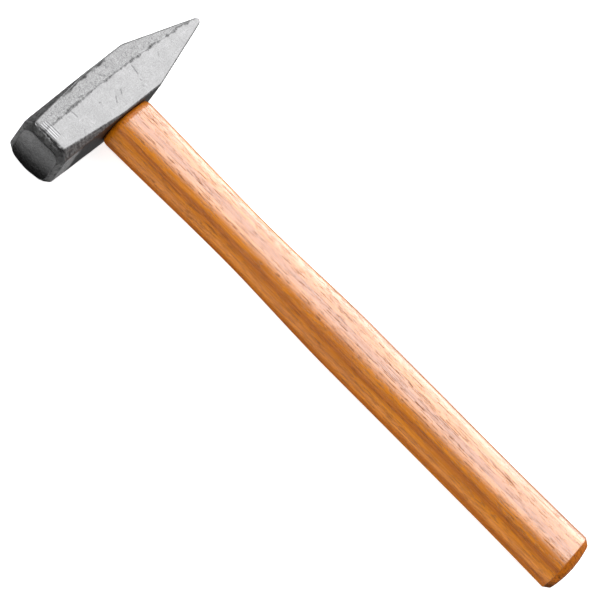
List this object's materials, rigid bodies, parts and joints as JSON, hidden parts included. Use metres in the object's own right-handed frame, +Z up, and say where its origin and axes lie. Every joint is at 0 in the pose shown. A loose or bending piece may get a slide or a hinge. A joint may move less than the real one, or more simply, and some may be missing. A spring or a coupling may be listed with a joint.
{
  "type": "cross peen hammer",
  "caption": "Engineer's hammer: a forged steel head with a square face and a cross peen, wedged on a straight oval wooden handle.",
  "frame": {"origin": "on the lower cheek of the head, under the point where the handle's axis crosses the head's axis", "axes": "+X along the handle toward its butt, +Y along the head toward the peen, +Z up, out of the upper cheek"},
  "size_m": [0.3214, 0.1215, 0.027],
  "materials": {
    "forged_steel": "satin, ground and lightly scratched",
    "varnished_wood": "clear varnish over straight-grained ash",
    "wedge_wood": "bare hardwood end grain",
    "wedge_steel": "plain mild steel"
  },
  "bodies": {
    "root": {"head": "forged_steel", "handle": "varnished_wood", "wooden_wedge": "wedge_wood", "steel_wedge": "wedge_steel"}
  },
  "joints": []
}
